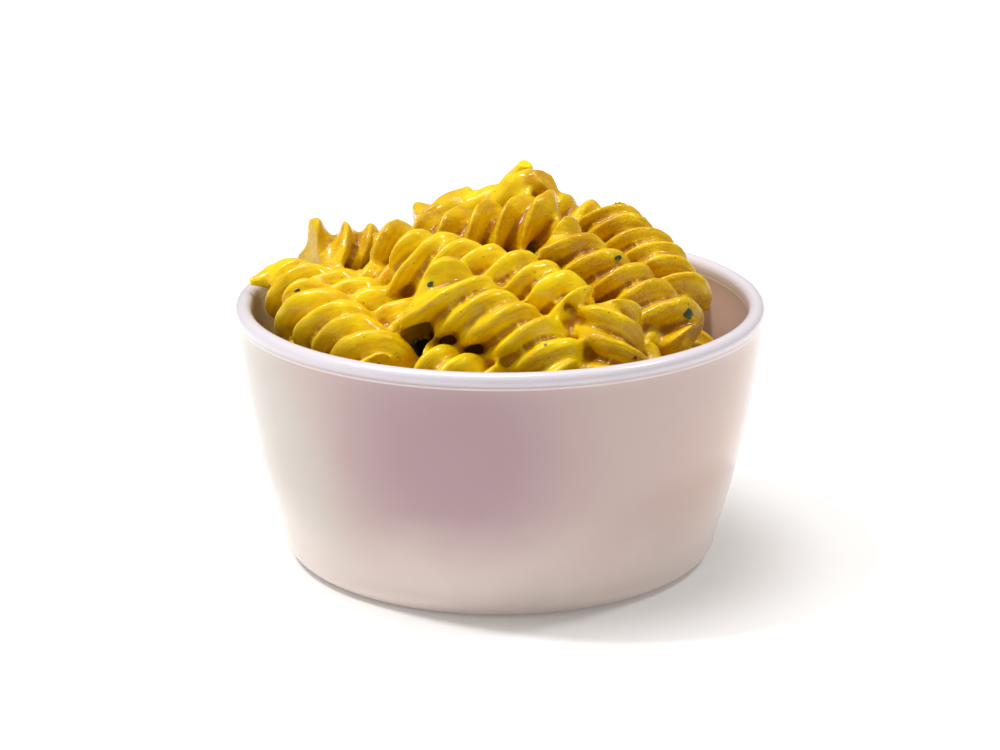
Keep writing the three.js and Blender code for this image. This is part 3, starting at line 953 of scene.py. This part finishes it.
def pasta_colour(tree, tone, place, flow):
    patch = add_node(tree, "TexNoise", Vector=place, Scale=1 / (PATCH_MM * MM), Detail=3.0).outputs["Fac"]
    drift = add_node(tree, "MapRange", _0=patch, _1=0.3, _2=0.7, _3=-0.3, _4=0.3).outputs[0]
    drawn = add_node(tree, "VectorMath", MULTIPLY, _0=flow, _1=(1 / STREAK_MM, 0.12, 1))
    streak = add_node(tree, "TexNoise", Vector=drawn.outputs[0], Scale=1.0, Detail=2.0).outputs["Fac"]
    streak = add_node(tree, "MapRange", _0=streak, _1=0.3, _2=0.7, _3=-0.25, _4=0.25).outputs[0]
    drift = add_node(tree, "Math", _0=drift, _1=streak).outputs[0]
    shade = add_node(tree, "Math", {"use_clamp": True}, _0=tone, _1=drift).outputs[0]
    on_crest = mixed(tree, shade, linear(CREST_DEEP), linear(CREST_PALE))
    in_groove = mixed(tree, shade, linear(GROOVE_DEEP), linear(GROOVE_PALE))
    crease = add_node(tree, "Attribute", {"attribute_name": "crease"}).outputs["Fac"]
    dip = add_node(tree, "Attribute", {"attribute_name": "dip"}).outputs["Fac"]
    # painted shade, partly pooled sauce: deep creases and broad dips take the groove colour
    pooled_and_shaded = add_node(tree, "Math", _0=ramped(tree, crease, *CREASE_MM), _1=ramped(tree, dip, *DIP_MM))
    pooled_and_shaded.use_clamp = True
    colour = mixed(tree, pooled_and_shaded.outputs[0], on_crest, in_groove)
    # painted light: sharp outward edges are paler, as if lit through
    painted_edge_glow = ramped(tree, crease, *EDGE_MM, 0.0, EDGE_SHARE)
    colour = mixed(tree, painted_edge_glow, colour, linear(EDGE_LIT))
    brown = spots(tree, place, SPOT_SPACING_MM, size=0.10, wobble=0.10)
    colour = mixed(tree, brown, colour, linear(SPOT_BROWN))
    dark = spots(tree, place, SPECK_SPACING_MM, size=0.07, wobble=0.05)
    return mixed(tree, dark, colour, linear(SPECK_DARK))


def wet_relief(tree, place, flow, tone):
    """Die lines along the blades, and the fine wrinkles of a skin of sauce."""
    stretched = add_node(tree, "VectorMath", MULTIPLY, _0=flow, _1=(1 / DIE_LINE_MM, 0.03, 1))
    lines = add_node(tree, "TexNoise", Vector=stretched.outputs[0], Scale=1.0, Detail=1.0).outputs["Fac"]
    fine = 1 / (WRINKLE_MM * MM)
    wrinkles = add_node(tree, "TexNoise", Vector=place, Scale=fine, Detail=3.0, Distortion=0.6)
    first = add_node(tree, "Bump", Strength=0.12, Distance=DIE_LINE_DEPTH_MM * MM, Height=lines)
    strength = ramped(tree, tone, *WRINKLE_TONES, *WRINKLE_STRENGTHS)
    second = add_node(tree, "Bump", Strength=strength, Distance=WRINKLE_DEPTH_MM * MM)
    tree.links.new(wrinkles.outputs["Fac"], second.inputs["Height"])
    tree.links.new(first.outputs[0], second.inputs["Normal"])
    return second


def wet_food(shader):
    """Settings that all the pasta shares. Starch gel has an IOR of about 1.42, oil and water less."""
    shader.inputs["Roughness"].default_value = 0.4
    shader.inputs["IOR"].default_value = 1.42
    shader.inputs["Specular IOR Level"].default_value = 0.12
    shader.inputs["Coat Weight"].default_value = 0.8
    shader.inputs["Coat Roughness"].default_value = 0.16
    shader.inputs["Coat IOR"].default_value = 1.35
    shader.inputs["Subsurface Weight"].default_value = 0.2
    shader.inputs["Subsurface Radius"].default_value = (1.0, 0.55, 0.08)
    shader.inputs["Subsurface Scale"].default_value = 1.2 * MM


pasta, pasta_tree, pasta_shader = new_material("boiled_durum_pasta_in_sauce")
object_place = add_node(pasta_tree, "TexCoord").outputs["Object"]
tone_value = add_node(pasta_tree, "Attribute", {"attribute_name": "tone"}).outputs["Fac"]
flow_value = add_node(pasta_tree, "Attribute", {"attribute_name": "flow"}).outputs["Vector"]
pasta_base = pasta_colour(pasta_tree, tone_value, object_place, flow_value)
pasta_tree.links.new(pasta_base, pasta_shader.inputs["Base Color"])
pasta_relief = wet_relief(pasta_tree, object_place, flow_value, tone_value).outputs[0]
pasta_tree.links.new(pasta_relief, pasta_shader.inputs["Normal"])
wet_food(pasta_shader)
for name, piece in pasta_pieces.items():
    if name != "sauced_core":
        dress(piece, "fusilli_heap", pasta)

# %% [markdown]
# ## Pasta in the dark
#
# What shows between the fusilli is the same pasta in the same sauce, but thick and in deep shade.
# So its colour is painted shade: a brown that drifts into a deep ochre, under the same wet coat, is
# all that the eye gets of it.

# %% Brown of the dark pasta
# painted shade: the browns of pasta deep in the gaps of the heap
SHADED_PASTA_OCHRE = "#8f6402"
SHADED_PASTA_BROWN = "#6b4206"
BLOTCH_MM = 3

shaded, shaded_tree, shaded_shader = new_material("pasta_in_the_dark")
place = add_node(shaded_tree, "TexCoord").outputs["Object"]
blotch = add_node(shaded_tree, "TexNoise", Vector=place, Scale=1 / (BLOTCH_MM * MM), Detail=3.0)
painted_shade_colour = mixed(shaded_tree, blotch.outputs["Fac"], linear(SHADED_PASTA_BROWN), linear(SHADED_PASTA_OCHRE))
shaded_tree.links.new(painted_shade_colour, shaded_shader.inputs["Base Color"])
wet_food(shaded_shader)
dress(pasta_pieces["sauced_core"], "fusilli_heap", shaded)

# %% [markdown]
# ## Herbs in oil
#
# The flakes are chopped leaf under a film of oil: dull green with darker veins, or nearly black
# where the leaf has cooked through. The largest, blackest one lies in a deep gap of the heap, and
# its black is partly painted shade.

# %% Leaf of the herbs
LEAF_GREEN = "#3f5a1c"
LEAF_VEIN = "#26380f"
LEAF_DARK = "#14150c"
VEIN_MM = 0.7

leaf, leaf_tree, leaf_shader = new_material("chopped_herb_leaf")
dark_value = add_node(leaf_tree, "Attribute", {"attribute_name": "dark"}).outputs["Fac"]
place = add_node(leaf_tree, "TexCoord").outputs["Object"]
veins = add_node(leaf_tree, "TexNoise", Vector=place, Scale=1 / (VEIN_MM * MM), Detail=3.0).outputs["Fac"]
green = mixed(leaf_tree, veins, linear(LEAF_GREEN), linear(LEAF_VEIN))
leaf_tree.links.new(mixed(leaf_tree, dark_value, green, linear(LEAF_DARK)), leaf_shader.inputs["Base Color"])
leaf_shader.inputs["Roughness"].default_value = 0.35
leaf_shader.inputs["Coat Weight"].default_value = 0.5
leaf_bump = add_node(leaf_tree, "Bump", Strength=0.3, Distance=0.2 * MM, Height=veins)
leaf_tree.links.new(leaf_bump.outputs[0], leaf_shader.inputs["Normal"])
dress(herbs, "fusilli_heap", leaf)

# %% [markdown]
# ## The table and the light
#
# The bowl stands on a white card that runs out of the picture on all sides. The card shines a
# little, as a lit photo table does, so that it stays pure white. A broad light from nearly
# overhead makes the soft shadow at the foot. A smaller one from the upper left makes the wet
# glints and leaves the right sides in shade. A large weak lamp fills the left side of the bowl, a
# small one puts glints on the right, and a warm white room does the rest.

# %% Floor, lamps and room
floor_mesh = bpy.data.meshes.new("floor")
FLOOR_HALF = 3.0  # metres
corners = [(x * FLOOR_HALF, y * FLOOR_HALF, 0) for x, y in ((-1, -1), (1, -1), (1, 1), (-1, 1))]
floor_mesh.from_pydata(corners, [], [(0, 1, 2, 3)])
floor = bpy.data.objects.new("floor", floor_mesh)
bpy.context.scene.collection.objects.link(floor)
paper, paper_tree, paper_shader = new_material("white_card")
paper_shader.inputs["Base Color"].default_value = linear("#f7f7f7")
paper_shader.inputs["Roughness"].default_value = 0.7
paper_shader.inputs["Emission Color"].default_value = linear("#ffffff")
paper_shader.inputs["Emission Strength"].default_value = 0.1
floor_mesh.materials.append(paper)


def add_lamp(name, kind, place, strength, hex_colour="#ffffff"):
    """A lamp of that kind, at a place in metres, that looks at the middle of the bowl."""
    lamp = bpy.data.lights.new(name, kind)
    lamp.energy = strength
    lamp.color = linear(hex_colour)[:3]
    holder = bpy.data.objects.new(name, lamp)
    holder.location = place
    holder.rotation_euler = (LOOK_AT - Vector(place)).to_track_quat("-Z", "Y").to_euler()
    bpy.context.scene.collection.objects.link(holder)
    return lamp


overhead = add_lamp("overhead", "SUN", (-0.10, 0.08, 0.99), 1.6)
overhead.angle = math.radians(30)
left_key = add_lamp("left_key", "SUN", (-0.45, 0.05, 0.89), 1.6)
left_key.angle = math.radians(6)
left_fill = add_lamp("left_fill", "AREA", (-0.70, -0.20, 0.35), 0.7)
left_fill.size = 0.5
right_lamp = add_lamp("right_lamp", "AREA", (0.36, 0.05, 0.58), 0.9)
right_lamp.size = 0.08

bpy.context.scene.view_settings.view_transform = "Standard"

world = bpy.context.scene.world or bpy.data.worlds.new("room")
bpy.context.scene.world = world
world.use_nodes = True
room = world.node_tree.nodes["Background"]
room.inputs["Color"].default_value = linear("#fff9f0")
room.inputs["Strength"].default_value = 0.27
